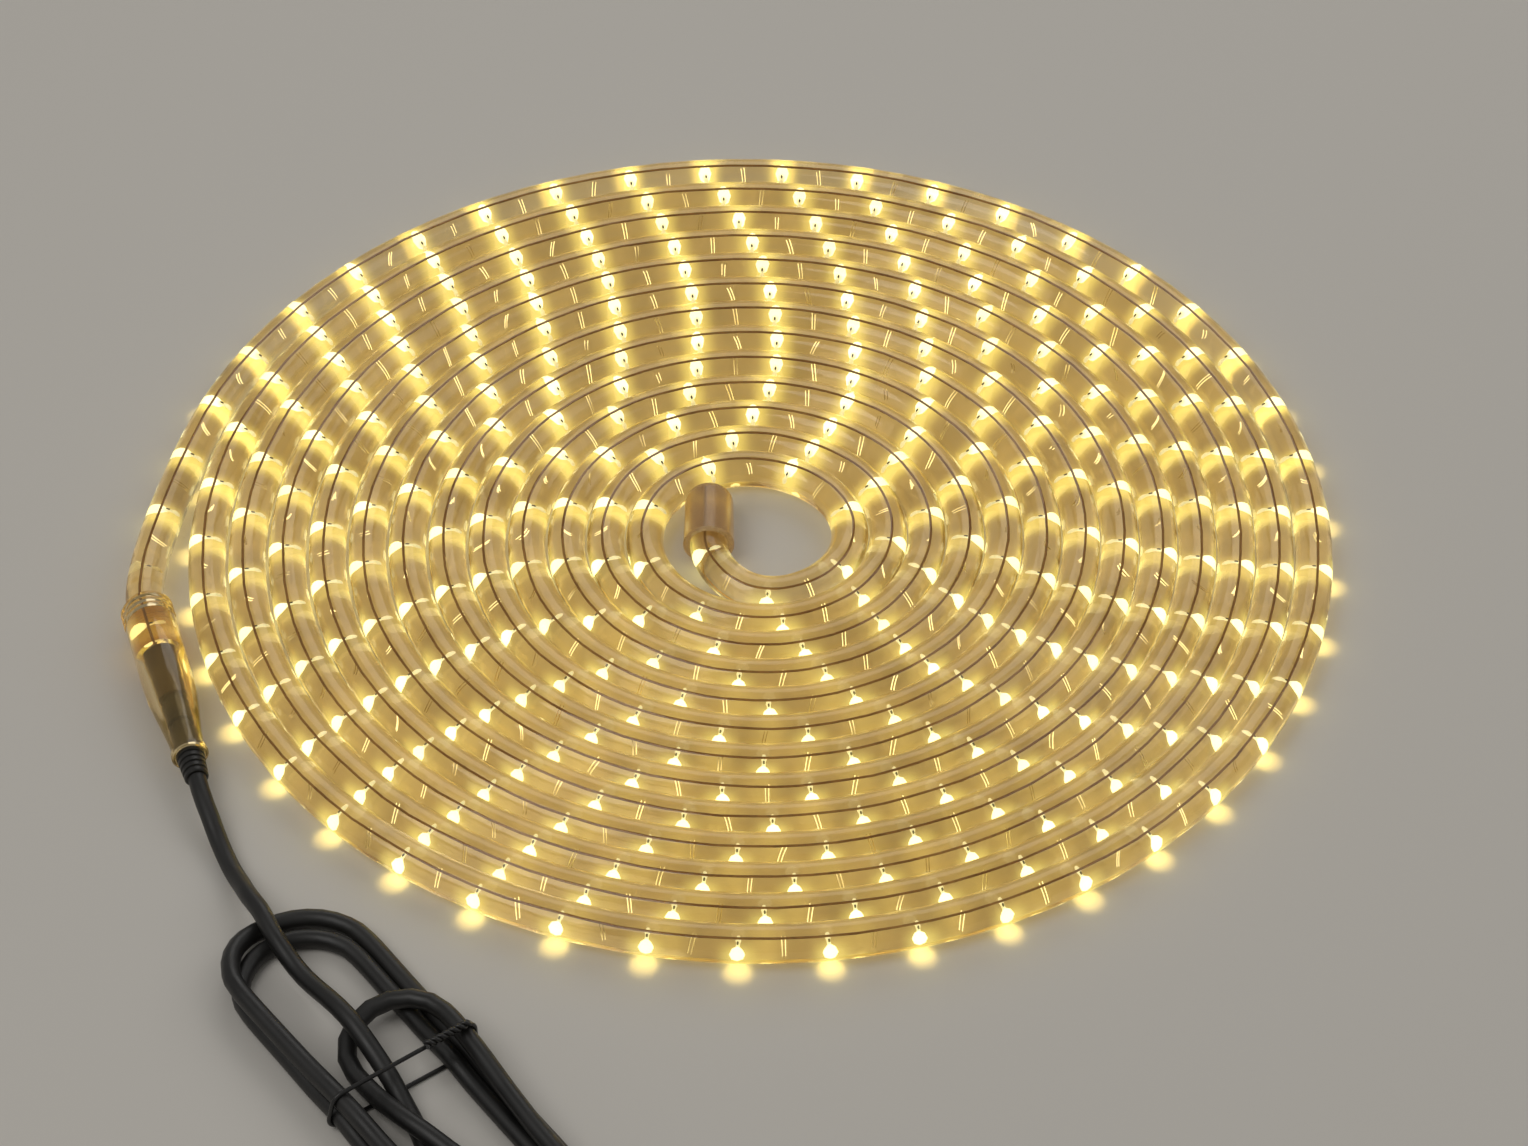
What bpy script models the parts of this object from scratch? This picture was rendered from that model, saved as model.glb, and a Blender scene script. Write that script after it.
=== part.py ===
"""Rope light laid in a flat coil: a clear round tube of lamps in a single layer of turns, with a closed
cap on its inner end and, on its outer end, a clear sleeve over a moulded connector with a mains lead."""

import math

import bmesh
import bpy
from mathutils import Vector

# Driving dimensions of the rope and its coil, in metres and degrees

ROPE_DIAMETER = 0.0125
ROPE_SIDES = 8
TURN_GAP = 0.00062
COIL_TURNS = 12.62
STEPS_PER_TURN = 40
COIL_OUTER_ANGLE = 167.4
COIL_DRIFT_X = 0.0026
COIL_DRIFT_Y = -0.0031
COIL_SWELL = 0.0020
SWELL_ANGLE = 135.0
HEADING_REACH = 0.001

FIT_GAP = 0.0003
TURNED_SIDES = 32
EDGE_STEPS = 3
SHARP_ANGLE = 50.0

# The closed cap on the inner end

CAP_LENGTH = 0.0258
CAP_WALL = 0.0015
CAP_DEPTH = 0.0222
CAP_EDGE = 0.0030
CAP_AXIS_X = -0.0153
CAP_MOUTH_Y = -0.0075
CAP_TO_TURN = 0.0005
INNER_LEAD_OUT = 0.024
INNER_LEAD_IN = 0.009
INNER_TAIL_STEPS = 12

# The clear sleeve on the outer end and the black connector in it

SLEEVE_LENGTH = 0.0713
SLEEVE_WALL = 0.0016
SLEEVE_GRIP = 0.0235
SLEEVE_SHOULDER = 0.006
SLEEVE_TAPER = 0.035
SLEEVE_END_WALL = 0.0011
SLEEVE_EDGE = 0.0008
SLEEVE_DISTANCE = 0.0822
SLEEVE_ASIDE = -0.0101
SLEEVE_HEADING = -73.0
OUTER_LEAD_OUT = 0.045
OUTER_LEAD_IN = 0.010
OUTER_TAIL_STEPS = 14

CONNECTOR_RADIUS = 0.0046
GROOVE_DEPTH = 0.0009
GROOVE_WIDTH = 0.003
GROOVE_PLACES = (0.0226, 0.0339)
RELIEF_LENGTH = 0.010
RELIEF_END_WALL = 0.0009

# The mains lead, its hank and its plug

CORD_DIAMETER = 0.006
CORD_BEVEL = 3
CORD_POINT_STEP = 0.009
CORD_ROUTE = (
    (0.0014, -0.0046, 0.0085),
    (0.0032, -0.0096, 0.0076),
    (0.0054, -0.0149, 0.0063),
    (0.0086, -0.0228, 0.0047),
    (0.0128, -0.0326, 0.0035),
    (0.0176, -0.0432, 0.0030),
    (0.0207, -0.0503, 0.0030),
    (0.0242, -0.0560, 0.0030),
)

HANK_LENGTH = 0.160
HANK_LAYERS = 2
HANK_TURNS_ACROSS = 2
HANK_FOLD_RADIUS = 0.0165
HANK_HEADING = -53.5
HANK_END_STEPS = 6
HANK_END_ANGLE = 12.0

TIE_WIDTH = 0.006
TIE_THICKNESS = 0.0012

TAIL_BEND_RADIUS = 0.026
TAIL_STRAIGHT = 0.006
TAIL_HEADING = 0.0
TAIL_STEPS = 5

PLUG_LENGTH = 0.036
PLUG_WIDTH = 0.0353
PLUG_HEIGHT = 0.0137
PLUG_SHOULDER = 0.013
PLUG_NECK_WIDTH = 0.0145
PLUG_CORNER = 0.003
PLUG_RELIEF_LENGTH = 0.022
PLUG_RELIEF_RADIUS = 0.0048
PLUG_CORNER_STEPS = 4
PLUG_ROUND_SHARE = 0.999
PIN_SPACING = 0.019
PIN_DIAMETER = 0.004
PIN_LENGTH = 0.019
PIN_TIP = 0.0008

# Sizes that follow from them

ROPE_RADIUS = ROPE_DIAMETER / 2
ROPE_CORNER = ROPE_RADIUS / math.cos(math.pi / ROPE_SIDES)
TURN_STEP = ROPE_DIAMETER + TURN_GAP
BORE_RADIUS = ROPE_CORNER + FIT_GAP
CAP_RADIUS = BORE_RADIUS + CAP_WALL
CAP_END_Y = CAP_MOUTH_Y + CAP_LENGTH
SLEEVE_RADIUS = BORE_RADIUS + SLEEVE_WALL
CONNECTOR_BORE = CONNECTOR_RADIUS + FIT_GAP
SLEEVE_END_RADIUS = CONNECTOR_BORE + SLEEVE_END_WALL
CORD_RADIUS = CORD_DIAMETER / 2
HANK_HEIGHT = HANK_LAYERS * CORD_DIAMETER
HANK_HALF_WIDTH = HANK_FOLD_RADIUS + (HANK_TURNS_ACROSS - 0.5) * CORD_DIAMETER
WAIST_DEPTH = TIE_THICKNESS + FIT_GAP


def flat_direction(degrees):
    return Vector((math.cos(math.radians(degrees)), math.sin(math.radians(degrees)), 0.0))


def to_the_right(direction):
    return Vector((direction.y, -direction.x, 0.0)).normalized()


def turn_centre(turns_in):
    """The middle of the turn: it wanders a little from the outer turn to the inner one."""
    share = turns_in / COIL_TURNS - 0.5
    return Vector((COIL_DRIFT_X * share, COIL_DRIFT_Y * share, 0.0))


def swell(turns_in):
    """How far the turn is pushed outwards on the side where the cap lies inside the innermost one."""
    aside = math.cos(math.radians(COIL_OUTER_ANGLE - 360 * turns_in - SWELL_ANGLE))
    return COIL_SWELL * (turns_in / COIL_TURNS) ** 4 * max(aside, 0.0) ** 2


def coil_inner_radius():
    """Radius of the coil's inner end, where its last turn just clears the far corner of the cap."""
    corner = Vector((CAP_AXIS_X - CAP_RADIUS, CAP_END_Y, 0.0))
    corner_angle = math.degrees(math.atan2(corner.y, corner.x))
    inner_angle = COIL_OUTER_ANGLE - 360 * COIL_TURNS
    turns_between = ((corner_angle - inner_angle) % 360) / 360
    nearest = COIL_TURNS - turns_between
    reach = (corner - turn_centre(nearest)).length - swell(nearest)
    reach += CAP_TO_TURN - CAP_EDGE * (math.sqrt(2) - 1)
    return reach + ROPE_RADIUS - TURN_STEP * turns_between


def coil_point(turns_in):
    """A point of the coil's centre line, counted in turns from its outer end."""
    radius = COIL_INNER_RADIUS + TURN_STEP * (COIL_TURNS - turns_in) + swell(turns_in)
    place = turn_centre(turns_in) + radius * flat_direction(COIL_OUTER_ANGLE - 360 * turns_in)
    place.z = ROPE_RADIUS
    return place


def coil_heading(turns_in):
    """Direction of travel along the coil, towards its middle."""
    return (coil_point(turns_in + HEADING_REACH) - coil_point(turns_in - HEADING_REACH)).normalized()


def bend(start, start_heading, start_pull, end, end_heading, end_pull, steps):
    """Points of the smooth curve between two ends that each follow their own heading."""
    corners = (start, start + start_pull * start_heading, end - end_pull * end_heading, end)
    points = []
    for step in range(steps + 1):
        t = step / steps
        weights = ((1 - t) ** 3, 3 * t * (1 - t) ** 2, 3 * t * t * (1 - t), t**3)
        points.append(sum((w * c for w, c in zip(weights, corners)), Vector((0.0, 0.0, 0.0))))
    return points


def smooth_through(points, step):
    """Points about one step apart on the smooth curve through the given points."""
    ends = [2 * points[0] - points[1], *points, 2 * points[-1] - points[-2]]
    path = []
    for index in range(1, len(ends) - 2):
        before, start, end, after = ends[index - 1 : index + 3]
        count = max(1, round((end - start).length / step))
        for part in range(count):
            t = part / count
            linear = (end - before) * t
            square = (2 * before - 5 * start + 4 * end - after) * t * t
            cube = (3 * start - before - 3 * end + after) * t**3
            path.append(start + (linear + square + cube) / 2)
    path.append(points[-1])
    return path


def add_node(name, data, color, roughness, metallic=0.0, alpha=1.0):
    """Makes one named object with its own material."""
    material = bpy.data.materials.new(name)
    material.use_nodes = True
    shader = material.node_tree.nodes["Principled BSDF"]
    shader.inputs["Base Color"].default_value = (*color, 1.0)
    shader.inputs["Roughness"].default_value = roughness
    shader.inputs["Metallic"].default_value = metallic
    shader.inputs["Alpha"].default_value = alpha
    data.materials.append(material)
    obj = bpy.data.objects.new(name, data)
    bpy.context.scene.collection.objects.link(obj)
    return obj


def solid_mesh(name, bm):
    """Turns a closed bmesh into a mesh with its faces pointing out and its round sides smooth."""
    bmesh.ops.recalc_face_normals(bm, faces=bm.faces)
    if bm.calc_volume(signed=True) < 0:
        bmesh.ops.reverse_faces(bm, faces=bm.faces)
    mesh = bpy.data.meshes.new(name)
    bm.to_mesh(mesh)
    bm.free()
    mesh.shade_smooth()
    mesh.set_sharp_from_angle(angle=math.radians(SHARP_ANGLE))
    return mesh


def join_rings(bm, ring, following):
    """Closes the skin between two rings of points; a ring of one point is a pole."""
    sides = max(len(ring), len(following))
    for index in range(sides):
        other = (index + 1) % sides
        if len(ring) == 1:
            bm.faces.new((ring[0], following[other], following[index]))
        elif len(following) == 1:
            bm.faces.new((ring[index], ring[other], following[0]))
        else:
            bm.faces.new((ring[index], ring[other], following[other], following[index]))


def skinned(rings_of_points):
    """A closed solid through rings of points, with a flat face on each end."""
    bm = bmesh.new()
    rings = [[bm.verts.new(point) for point in ring] for ring in rings_of_points]
    for ring, following in zip(rings, rings[1:]):
        join_rings(bm, ring, following)
    bm.faces.new(rings[0])
    bm.faces.new(rings[-1])
    return bm


def round_ring(centre, along, radius, sides):
    """A ring of points about an axis, with a flat side downwards."""
    side = to_the_right(along)
    up = side.cross(along)
    ring = []
    for index in range(sides):
        angle = 2 * math.pi * (index + 0.5) / sides
        ring.append(centre + radius * (math.cos(angle) * side + math.sin(angle) * up))
    return ring


def swept(points, corner_radius, sides):
    """A tube of even section along points."""
    rings = []
    for before, point, after in zip(points[:1] + points, points, points[1:] + points[-1:]):
        rings.append(round_ring(point, (after - before).normalized(), corner_radius, sides))
    return skinned(rings)


def turned(profile, start, heading):
    """A turned piece from an outline of (distance along its axis, radius).

    An outline that starts on the axis ends there too; any other one closes on itself, round a bore."""
    bm = bmesh.new()
    rings = []
    for distance, radius in profile:
        centre = start + distance * heading
        if radius == 0.0:
            rings.append([bm.verts.new(centre)])
        else:
            ring = round_ring(centre, heading, radius, TURNED_SIDES)
            rings.append([bm.verts.new(point) for point in ring])
    following = rings[1:] if profile[0][1] == 0.0 else rings[1:] + rings[:1]
    for ring, next_ring in zip(rings, following):
        join_rings(bm, ring, next_ring)
    return bm


def rounded_edge(distance, radius, size):
    """Outline points of a rounded rim that ends at this distance and starts at this radius."""
    points = []
    for step in range(EDGE_STEPS + 1):
        angle = math.pi / 2 * step / EDGE_STEPS
        points.append((distance - size * (1 - math.sin(angle)), radius - size * (1 - math.cos(angle))))
    return points


def add_rope():
    """One tube from inside the sleeve, round the coil and into the cap."""
    outer_tail = bend(
        COIL_START, OUT_HEADING, OUTER_LEAD_OUT, SLEEVE_MOUTH, SLEEVE_WAY, OUTER_LEAD_IN, OUTER_TAIL_STEPS
    )
    inner_tail = bend(
        COIL_END, IN_HEADING, INNER_LEAD_OUT, CAP_MOUTH, CAP_WAY, INNER_LEAD_IN, INNER_TAIL_STEPS
    )
    steps = round(COIL_TURNS * STEPS_PER_TURN)
    points = [SLEEVE_MOUTH + SLEEVE_GRIP * SLEEVE_WAY]
    points += reversed(outer_tail)
    points += [coil_point(COIL_TURNS * step / steps) for step in range(1, steps)]
    points += inner_tail
    points += [CAP_MOUTH + (CAP_DEPTH - FIT_GAP) * CAP_WAY]
    mesh = solid_mesh("rope", swept(points, ROPE_CORNER, ROPE_SIDES))
    return add_node("rope", mesh, (0.62, 0.47, 0.21), 0.15, alpha=0.5)


def add_end_cap():
    """A moulded cup over the inner end, closed at its far end."""
    profile = [(CAP_DEPTH, 0.0), (CAP_DEPTH, BORE_RADIUS), (0.0, BORE_RADIUS), (0.0, CAP_RADIUS)]
    profile += rounded_edge(CAP_LENGTH, CAP_RADIUS, CAP_EDGE)
    profile += [(CAP_LENGTH, 0.0)]
    mesh = solid_mesh("end_cap", turned(profile, CAP_MOUTH, CAP_WAY))
    return add_node("end_cap", mesh, (0.42, 0.27, 0.14), 0.3, alpha=0.8)


def add_connector_sleeve():
    """A clear tube that grips the rope and narrows over the connector."""
    profile = [(0.0, BORE_RADIUS), (0.0, SLEEVE_RADIUS - SLEEVE_EDGE), (SLEEVE_EDGE, SLEEVE_RADIUS)]
    profile += [
        (SLEEVE_LENGTH - SLEEVE_TAPER, SLEEVE_RADIUS),
        (SLEEVE_LENGTH, SLEEVE_END_RADIUS),
        (SLEEVE_LENGTH, CONNECTOR_BORE),
        (SLEEVE_GRIP + SLEEVE_SHOULDER, CONNECTOR_BORE),
        (SLEEVE_GRIP + FIT_GAP, BORE_RADIUS),
    ]
    mesh = solid_mesh("connector_sleeve", turned(profile, SLEEVE_MOUTH, SLEEVE_WAY))
    return add_node("connector_sleeve", mesh, (0.60, 0.47, 0.26), 0.12, alpha=0.4)


def add_cord_connector():
    """The black moulding that joins the lead to the rope and ends as the lead's strain relief."""
    front = SLEEVE_GRIP + FIT_GAP
    length = SLEEVE_LENGTH + RELIEF_LENGTH - front
    profile = [(0.0, 0.0), (0.0, CONNECTOR_RADIUS)]
    for place in GROOVE_PLACES:
        floor_radius = CONNECTOR_RADIUS - GROOVE_DEPTH
        profile += [(place, CONNECTOR_RADIUS), (place, floor_radius)]
        profile += [(place + GROOVE_WIDTH, floor_radius), (place + GROOVE_WIDTH, CONNECTOR_RADIUS)]
    profile += [(length - RELIEF_LENGTH, CONNECTOR_RADIUS)]
    profile += [(length, CORD_RADIUS + RELIEF_END_WALL), (length, 0.0)]
    start = SLEEVE_MOUTH + front * SLEEVE_WAY
    mesh = solid_mesh("cord_connector", turned(profile, start, SLEEVE_WAY))
    return add_node("cord_connector", mesh, (0.012, 0.012, 0.013), 0.45)


def add_cord(name, path):
    """A stretch of the lead that lies uncoiled."""
    curve = bpy.data.curves.new(name, "CURVE")
    curve.dimensions = "3D"
    curve.bevel_depth = CORD_RADIUS
    curve.bevel_resolution = CORD_BEVEL
    curve.use_fill_caps = True
    spline = curve.splines.new("POLY")
    spline.points.add(len(path) - len(spline.points))
    for point, place in zip(spline.points, path):
        point.co = (*place, 1.0)
    return add_node(name, curve, (0.012, 0.012, 0.013), 0.5)


def hank_section(distance, inset=0.0):
    """The hank's square section at this distance from its head, narrower towards its round ends."""
    short = HANK_HALF_WIDTH * (1 - math.cos(math.radians(HANK_END_ANGLE)))
    from_end = short + min(distance, HANK_LENGTH - distance)
    half = HANK_HALF_WIDTH
    if from_end < HANK_HALF_WIDTH:
        half = math.sqrt(HANK_HALF_WIDTH**2 - (HANK_HALF_WIDTH - from_end) ** 2)
    half -= inset
    side = to_the_right(HANK_WAY)
    centre = HANK_HEAD + distance * HANK_WAY
    corners = ((half, inset), (half, HANK_HEIGHT - inset), (-half, HANK_HEIGHT - inset), (-half, inset))
    return [centre + across * side + Vector((0.0, 0.0, height)) for across, height in corners]


def add_cord_hank():
    """The rest of the lead, folded into an oval hank with a waist where its tie holds it."""
    ends = []
    for step in range(HANK_END_STEPS + 1):
        angle = math.radians(HANK_END_ANGLE + (90 - HANK_END_ANGLE) * step / HANK_END_STEPS)
        ends.append(HANK_HALF_WIDTH * (math.cos(math.radians(HANK_END_ANGLE)) - math.cos(angle)))
    waist_half = TIE_WIDTH / 2 + FIT_GAP
    waist = (HANK_LENGTH / 2 - waist_half, HANK_LENGTH / 2 + waist_half)
    sections = [hank_section(distance) for distance in ends]
    sections += [hank_section(waist[0]), hank_section(waist[0], WAIST_DEPTH)]
    sections += [hank_section(waist[1], WAIST_DEPTH), hank_section(waist[1])]
    sections += [hank_section(HANK_LENGTH - distance) for distance in reversed(ends)]
    mesh = solid_mesh("cord_hank", skinned(sections))
    return add_node("cord_hank", mesh, (0.014, 0.014, 0.015), 0.5)


def add_hank_tie():
    """The band round the hank's waist."""
    middle = HANK_LENGTH / 2
    bm = bmesh.new()
    rings = []
    for distance in (middle - TIE_WIDTH / 2, middle + TIE_WIDTH / 2):
        for inset in (0.0, TIE_THICKNESS):
            ring = [bm.verts.new(point) for point in hank_section(distance, inset)]
            rings.append(ring)
    for first, second in ((0, 2), (2, 3), (3, 1), (1, 0)):
        join_rings(bm, rings[first], rings[second])
    return add_node("hank_tie", solid_mesh("hank_tie", bm), (0.02, 0.02, 0.02), 0.4)


def plug_ring(distance, half_width, half_height, corner):
    """A rounded rectangle across the plug, at this distance from the lead's end of it."""
    side = to_the_right(PLUG_WAY)
    ring = []
    for quarter, (across, rise) in enumerate(((1, 1), (-1, 1), (-1, -1), (1, -1))):
        for step in range(PLUG_CORNER_STEPS + 1):
            angle = math.pi / 2 * (quarter + step / PLUG_CORNER_STEPS)
            out = across * (half_width - corner) + corner * math.cos(angle)
            high = rise * (half_height - corner) + corner * math.sin(angle)
            ring.append(PLUG_START + distance * PLUG_WAY + out * side + Vector((0.0, 0.0, high)))
    return ring


def add_plug_body():
    """The moulded plug with its own strain relief, lying on its flat side."""
    neck = PLUG_RELIEF_LENGTH
    face = neck + PLUG_LENGTH
    tail_radius = CORD_RADIUS + RELIEF_END_WALL
    half_height = PLUG_HEIGHT / 2
    corner_of_relief = PLUG_RELIEF_RADIUS * PLUG_ROUND_SHARE
    rings = [
        plug_ring(0.0, tail_radius, tail_radius, tail_radius * PLUG_ROUND_SHARE),
        plug_ring(neck, PLUG_RELIEF_RADIUS, PLUG_RELIEF_RADIUS, corner_of_relief),
        plug_ring(neck + FIT_GAP, PLUG_NECK_WIDTH / 2, half_height, PLUG_CORNER),
        plug_ring(face - PLUG_SHOULDER, PLUG_WIDTH / 2, half_height, PLUG_CORNER),
        plug_ring(face, PLUG_WIDTH / 2, half_height, PLUG_CORNER),
    ]
    mesh = solid_mesh("plug_body", skinned(rings))
    return add_node("plug_body", mesh, (0.014, 0.014, 0.015), 0.4)


def add_plug_pin(name, across):
    """A round pin on the plug's face."""
    radius = PIN_DIAMETER / 2
    profile = [(0.0, 0.0), (0.0, radius)]
    profile += rounded_edge(PIN_LENGTH, radius, PIN_TIP)
    profile += [(PIN_LENGTH, 0.0)]
    from_start = PLUG_RELIEF_LENGTH + PLUG_LENGTH + FIT_GAP
    start = PLUG_START + from_start * PLUG_WAY + across * to_the_right(PLUG_WAY)
    mesh = solid_mesh(name, turned(profile, start, PLUG_WAY))
    return add_node(name, mesh, (0.78, 0.74, 0.62), 0.25, metallic=1.0)


for old in list(bpy.data.objects):
    bpy.data.objects.remove(old, do_unlink=True)

# Where each piece starts, and which way it points

COIL_INNER_RADIUS = coil_inner_radius()
COIL_START = coil_point(0.0)
COIL_END = coil_point(COIL_TURNS)
OUT_HEADING = -coil_heading(0.0)
IN_HEADING = coil_heading(COIL_TURNS)

SLEEVE_WAY = flat_direction(SLEEVE_HEADING)
SLEEVE_MOUTH = COIL_START + SLEEVE_DISTANCE * OUT_HEADING + SLEEVE_ASIDE * to_the_right(OUT_HEADING)
SLEEVE_MOUTH.z = SLEEVE_RADIUS

CAP_WAY = Vector((0.0, 1.0, 0.0))
CAP_MOUTH = Vector((CAP_AXIS_X, CAP_MOUTH_Y, CAP_RADIUS))

RELIEF_END = SLEEVE_MOUTH + (SLEEVE_LENGTH + RELIEF_LENGTH) * SLEEVE_WAY
route = [RELIEF_END + FIT_GAP * SLEEVE_WAY]
for ahead, aside, height in CORD_ROUTE:
    route.append(Vector((RELIEF_END.x + ahead, RELIEF_END.y + aside, height)))

HANK_WAY = flat_direction(HANK_HEADING)
HANK_HEAD = route[-1] + FIT_GAP * HANK_WAY
HANK_HEAD.z = 0.0
HANK_FOOT = HANK_HEAD + HANK_LENGTH * HANK_WAY

PLUG_WAY = flat_direction(TAIL_HEADING)
tail_start = HANK_FOOT + FIT_GAP * HANK_WAY
tail_start.z = CORD_RADIUS
tail_path = [tail_start]
bend_start = tail_start + TAIL_STRAIGHT * HANK_WAY
tail_centre = bend_start - TAIL_BEND_RADIUS * to_the_right(HANK_WAY)
for step in range(TAIL_STEPS + 1):
    turn = HANK_HEADING + (TAIL_HEADING - HANK_HEADING) * step / TAIL_STEPS
    place = tail_centre + TAIL_BEND_RADIUS * to_the_right(flat_direction(turn))
    rise = (1 - math.cos(math.pi * step / TAIL_STEPS)) / 2
    place.z = CORD_RADIUS + rise * (PLUG_HEIGHT / 2 - CORD_RADIUS)
    tail_path.append(place)
tail_path.append(tail_path[-1] + TAIL_STRAIGHT * PLUG_WAY)
PLUG_START = tail_path[-1] + FIT_GAP * PLUG_WAY

own_pieces = [add_rope(), add_end_cap(), add_connector_sleeve(), add_cord_connector()]
cord_pieces = [
    add_cord("power_cord", smooth_through(route, CORD_POINT_STEP)),
    add_cord_hank(),
    add_hank_tie(),
    add_cord("power_cord_tail", tail_path),
    add_plug_body(),
    add_plug_pin("plug_pin_1", PIN_SPACING / 2),
    add_plug_pin("plug_pin_2", -PIN_SPACING / 2),
]

# The origin is on the floor, under the middle of the light without its lead

corners = [vertex.co for piece in own_pieces for vertex in piece.data.vertices]
middle_x = (min(c.x for c in corners) + max(c.x for c in corners)) / 2
middle_y = (min(c.y for c in corners) + max(c.y for c in corners)) / 2
frame = bpy.data.objects.new("frame", None)
bpy.context.scene.collection.objects.link(frame)
frame.location = (-middle_x, -middle_y, 0.0)
for piece in own_pieces + cord_pieces:
    piece.parent = frame
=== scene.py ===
"""The looks of a clear rope light in a flat coil, lit, with its end cap, sleeved connector and mains lead."""

import math

import bmesh
import bpy
from mathutils import Matrix, Vector
from mathutils.geometry import convex_hull_2d


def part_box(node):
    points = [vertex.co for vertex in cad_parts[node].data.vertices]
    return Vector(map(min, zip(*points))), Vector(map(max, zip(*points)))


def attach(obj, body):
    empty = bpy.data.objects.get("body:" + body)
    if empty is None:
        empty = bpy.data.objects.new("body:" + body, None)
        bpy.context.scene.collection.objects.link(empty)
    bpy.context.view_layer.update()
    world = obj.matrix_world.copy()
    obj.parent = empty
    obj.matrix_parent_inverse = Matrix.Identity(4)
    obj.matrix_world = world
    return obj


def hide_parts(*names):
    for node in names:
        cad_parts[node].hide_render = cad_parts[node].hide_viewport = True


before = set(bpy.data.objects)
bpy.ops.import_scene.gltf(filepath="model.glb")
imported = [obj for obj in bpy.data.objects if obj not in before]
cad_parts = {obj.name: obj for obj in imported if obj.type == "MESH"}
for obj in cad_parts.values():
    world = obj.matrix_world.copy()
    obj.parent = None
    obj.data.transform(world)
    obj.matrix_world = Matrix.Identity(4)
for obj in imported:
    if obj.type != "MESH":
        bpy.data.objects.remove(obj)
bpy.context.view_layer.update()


# Camera. It stands where the photograph was taken from: 1.56 m from the middle of the coil, looking down
# at it by a little over 43 degrees through a long lens.

UP = Vector((0.0, 0.0, 1.0))
COIL_POLE = Vector((0.007585, -0.004698, 0.0))
CAMERA_DISTANCE = 1.5610
CAMERA_ELEVATION = 0.7520
CAMERA_ROLL = 0.004
PHOTO_WIDTH = 1528
FOCAL_PIXELS = 4652.77
PHOTO_OFFSET = (-9.4, -23.6)


def camera_turn():
    """The camera's rotation: its back towards the viewer, rolled a little about its own line of sight."""
    back = Vector((0.0, -math.cos(CAMERA_ELEVATION), math.sin(CAMERA_ELEVATION)))
    level = Vector((1.0, 0.0, 0.0))
    upright = back.cross(level)
    right = math.cos(CAMERA_ROLL) * level + math.sin(CAMERA_ROLL) * upright
    up = math.cos(CAMERA_ROLL) * upright - math.sin(CAMERA_ROLL) * level
    return Matrix((right, up, back)).transposed()


camera = bpy.data.objects.new("photo_camera", bpy.data.cameras.new("photo_camera"))
bpy.context.scene.collection.objects.link(camera)
turn = camera_turn()
camera.matrix_world = turn.to_4x4()
camera.location = COIL_POLE + CAMERA_DISTANCE * (turn @ UP)
camera.data.sensor_width = 36.0
camera.data.lens = camera.data.sensor_width * FOCAL_PIXELS / PHOTO_WIDTH
camera.data.shift_x = -PHOTO_OFFSET[0] / PHOTO_WIDTH
camera.data.shift_y = PHOTO_OFFSET[1] / PHOTO_WIDTH
camera.data.clip_start = 0.05
camera.data.clip_end = 30.0
bpy.context.scene.camera = camera


# Mains lead. Round black two-core cord, 6 mm thick and 1.2 m long. It leaves the connector's strain relief,
# drops to the floor, lies in a hank of three folded loops that a wire tie holds, and ends in its plug.

CORD_DIAMETER = 0.006
RELIEF_END = Vector((-0.16830, -0.12089, 0.00866))
LEAD_STEP = 0.0045
TIE_PLACE, TIE_WIRE = 0.080, 0.0014
LEAD_ROUTE = (
    (0.0, 0.0), (0.0014, -0.0046), (0.0032, -0.0096), (0.0054, -0.0149), (0.0086, -0.0228),
    (0.0128, -0.0326), (0.0176, -0.0432), (0.0207, -0.0503), (0.0242, -0.0560),
)
HANK_HEAD = Vector((-0.14392, -0.17714, 0.0))
HANK_WAY = Vector((math.cos(math.radians(-53.5)), math.sin(math.radians(-53.5)), 0.0))
HANK_SIDE = Vector((HANK_WAY.y, -HANK_WAY.x, 0.0))
OUTER_HEAD, INNER_HEAD, THIRD_HEAD, FOOT_CENTRE = 0.0255, 0.0300, 0.0690, 0.1345
HANK_START = ((0.016, 0.0026), (0.040, 0.0028), (0.062, 0.0028))
HANK_UNDER = ((0.080, 0.0035), (0.100, 0.0070), (0.118, 0.0132))
# each fold's place, where it starts and ends across the hank, and where the run after it ends
HANK_FOLDS = (
    (FOOT_CENTRE, 0.0165, -0.0165, INNER_HEAD, -0.0165),
    (INNER_HEAD, -0.0165, 0.0225, FOOT_CENTRE, 0.0225),
    (FOOT_CENTRE, 0.0225, -0.0225, OUTER_HEAD, -0.0225),
    (OUTER_HEAD, -0.0225, 0.0225, FOOT_CENTRE, 0.0195),
    (FOOT_CENTRE, 0.0195, -0.0195, THIRD_HEAD, -0.0225),
)
HANK_END = (
    (0.090, 0.0100), (0.108, 0.0065), (0.126, 0.0010), (0.145, -0.0032), (0.163, -0.0060),
    (0.175, -0.0085), (0.184, -0.0125),
)
FOLD_STEPS = 8
PLUG_START = Vector((-0.01781, -0.32135, 0.00685))


def linear(hex_color):
    """Turns an sRGB hex colour into Blender's linear values."""
    values = [int(hex_color[i : i + 2], 16) / 255 for i in (1, 3, 5)]
    return (*[v / 12.92 if v <= 0.04045 else ((v + 0.055) / 1.055) ** 2.4 for v in values], 1.0)


def add_node(tree, kind, inputs=(), **settings):
    """Adds a node; inputs maps a socket's name or number to a value, or to the socket that feeds it.

    A node stands for its first output."""
    node = tree.nodes.new(kind)
    for name, value in settings.items():
        setattr(node, name, value)
    for key, value in dict(inputs).items():
        source = value.outputs[0] if isinstance(value, bpy.types.Node) else value
        if isinstance(source, bpy.types.NodeSocket):
            tree.links.new(source, node.inputs[key])
        else:
            node.inputs[key].default_value = source
    return node


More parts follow.
